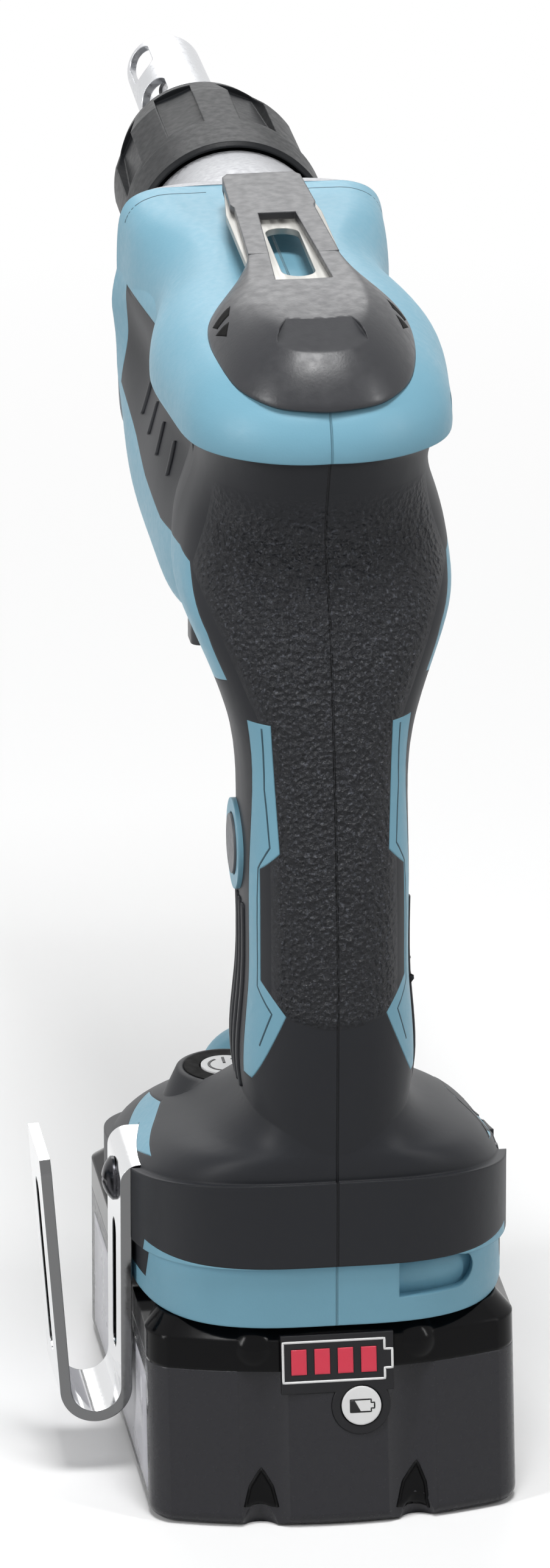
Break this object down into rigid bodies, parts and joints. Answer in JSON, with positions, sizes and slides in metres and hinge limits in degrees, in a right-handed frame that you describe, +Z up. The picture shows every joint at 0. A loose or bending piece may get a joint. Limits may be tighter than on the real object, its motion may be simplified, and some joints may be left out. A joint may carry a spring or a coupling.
{
  "type": "drywall screwdriver",
  "caption": "Cordless pistol-grip drywall screwdriver with adjustable depth-stop nose, top belt clip, side hook and slide-on battery.",
  "frame": {"origin": "on the battery's bottom face, on the middle plane, under the trigger's rear", "axes": "+X to the user's right, +Y forward along the spindle towards the nose, +Z up"},
  "size_m": [0.0982, 0.2836, 0.2541],
  "materials": {
    "teal_shell": "satin",
    "soft_black": "matte",
    "cast_metal": "satin",
    "nose_metal": "satin",
    "sleeve_dark": "satin",
    "black_plastic": "satin",
    "battery_black": "satin",
    "battery_gloss": "gloss",
    "grey_plastic": "satin",
    "white_plastic": "satin",
    "lamp": "clear",
    "chrome_steel": "polished",
    "clip_steel": "brushed",
    "steel": "satin",
    "screw_steel": "satin",
    "brass": "satin",
    "lamination": "matte",
    "magnet": "satin",
    "copper": "satin",
    "board": "satin",
    "cell": "satin",
    "gauge_red": "gloss",
    "rubber_ring": "matte"
  },
  "bodies": {
    "casing": {"housing_left": "teal_shell", "housing_right": "teal_shell", "grip_left": "soft_black", "grip_right": "soft_black", "gear_housing": "cast_metal", "bearing_bracket": "steel", "housing_screws": "screw_steel", "gear_housing_screws": "screw_steel", "clip_plate": "clip_steel", "clip_cover": "black_plastic", "clip_screws": "screw_steel", "hook": "chrome_steel", "hook_screw": "chrome_steel", "hook_inserts": "brass", "switch_body": "black_plastic", "controller": "board", "terminal_block": "black_plastic", "lamp_lens": "lamp", "stator_core": "lamination", "stator_coils": "copper", "sensor_board": "board", "rear_bearing": "steel", "front_bearing": "steel", "spindle_bush": "brass", "rear_bush": "brass", "lock_bezel": "teal_shell", "mode_panel": "black_plastic", "sleeve_ring": "rubber_ring", "trigger_spring": "steel"},
    "rotor": {"rotor_shaft": "steel", "rotor_core": "lamination", "rotor_magnets": "magnet", "cooling_fan": "black_plastic", "motor_pinion": "steel"},
    "gear": {"drive_gear": "steel"},
    "thrust": {"thrust_ring": "steel"},
    "spindle_set": {"spindle": "steel", "driven_cam": "steel", "clutch_spring": "steel", "bit_holder": "steel", "holder_magnet": "magnet", "screw_bit": "steel"},
    "sleeve": {"depth_sleeve": "sleeve_dark"},
    "nose": {"locator": "nose_metal"},
    "trigger_piece": {"trigger": "black_plastic"},
    "lever": {"reverse_lever": "black_plastic"},
    "lock": {"lock_button": "grey_plastic"},
    "mode": {"mode_button": "grey_plastic"},
    "battery": {"battery_case": "battery_black", "battery_cover": "battery_gloss", "battery_cells": "cell", "battery_terminals": "brass", "gauge_panel": "battery_gloss", "gauge_bars": "gauge_red", "battery_screws": "screw_steel", "latch_spring": "steel"},
    "latch": {"battery_latch": "black_plastic"},
    "check": {"check_button": "white_plastic"}
  },
  "joints": [
    {"name": "trigger_slide", "type": "slide", "parent": "casing", "child": "trigger_piece", "axis": [0, -1, 0], "range_m": [0, 0.006], "stiffness_N_per_m": 1500, "deforming": ["trigger_spring"]},
    {"name": "reverse_turn", "type": "hinge", "parent": "casing", "child": "lever", "pos_m": [0, -0.0205, 0.176], "axis": [0, 0, 1], "range_deg": [-6, 6]},
    {"name": "lock_press", "type": "slide", "parent": "casing", "child": "lock", "axis": [1, 0, 0], "range_m": [0, 0.002], "stiffness_N_per_m": 800},
    {"name": "mode_press", "type": "slide", "parent": "casing", "child": "mode", "axis": [0, 0, -1], "range_m": [0, 0.0008], "stiffness_N_per_m": 1500},
    {"name": "rotor_spin", "type": "hinge", "parent": "casing", "child": "rotor", "pos_m": [0, 0, 0.20588], "axis": [0, 1, 0], "continuous": true},
    {"name": "gear_spin", "type": "hinge", "parent": "casing", "child": "gear", "pos_m": [0, 0.084, 0.225], "axis": [0, 1, 0], "continuous": true},
    {"name": "spindle_push", "type": "slide", "parent": "casing", "child": "thrust", "axis": [0, -1, 0], "range_m": [0, 0.0027], "stiffness_N_per_m": 2500, "deforming": ["clutch_spring"]},
    {"name": "spindle_spin", "type": "hinge", "parent": "thrust", "child": "spindle_set", "pos_m": [0, 0.11, 0.225], "axis": [0, 1, 0], "continuous": true},
    {"name": "sleeve_turn", "type": "hinge", "parent": "casing", "child": "sleeve", "pos_m": [0, 0.13, 0.225], "axis": [0, 1, 0], "range_deg": [-720, 720]},
    {"name": "nose_slide", "type": "slide", "parent": "casing", "child": "nose", "axis": [0, 1, 0], "range_m": [-0.0031, 0.0031]},
    {"name": "battery_slide", "type": "slide", "parent": "casing", "child": "battery", "axis": [0, 1, 0], "range_m": [0, 0.11]},
    {"name": "latch_press", "type": "slide", "parent": "battery", "child": "latch", "axis": [0, 0, -1], "range_m": [0, 0.004], "stiffness_N_per_m": 900, "deforming": ["latch_spring"]},
    {"name": "check_press", "type": "slide", "parent": "battery", "child": "check", "axis": [0, 0.9872, -0.1594], "range_m": [0, 0.0006], "stiffness_N_per_m": 1500}
  ],
  "couplings": [
    {"joint": "gear_spin", "follows": "rotor_spin", "ratio": -0.18605},
    {"joint": "nose_slide", "follows": "sleeve_turn", "m_per_rad": 0.00023873}
  ]
}
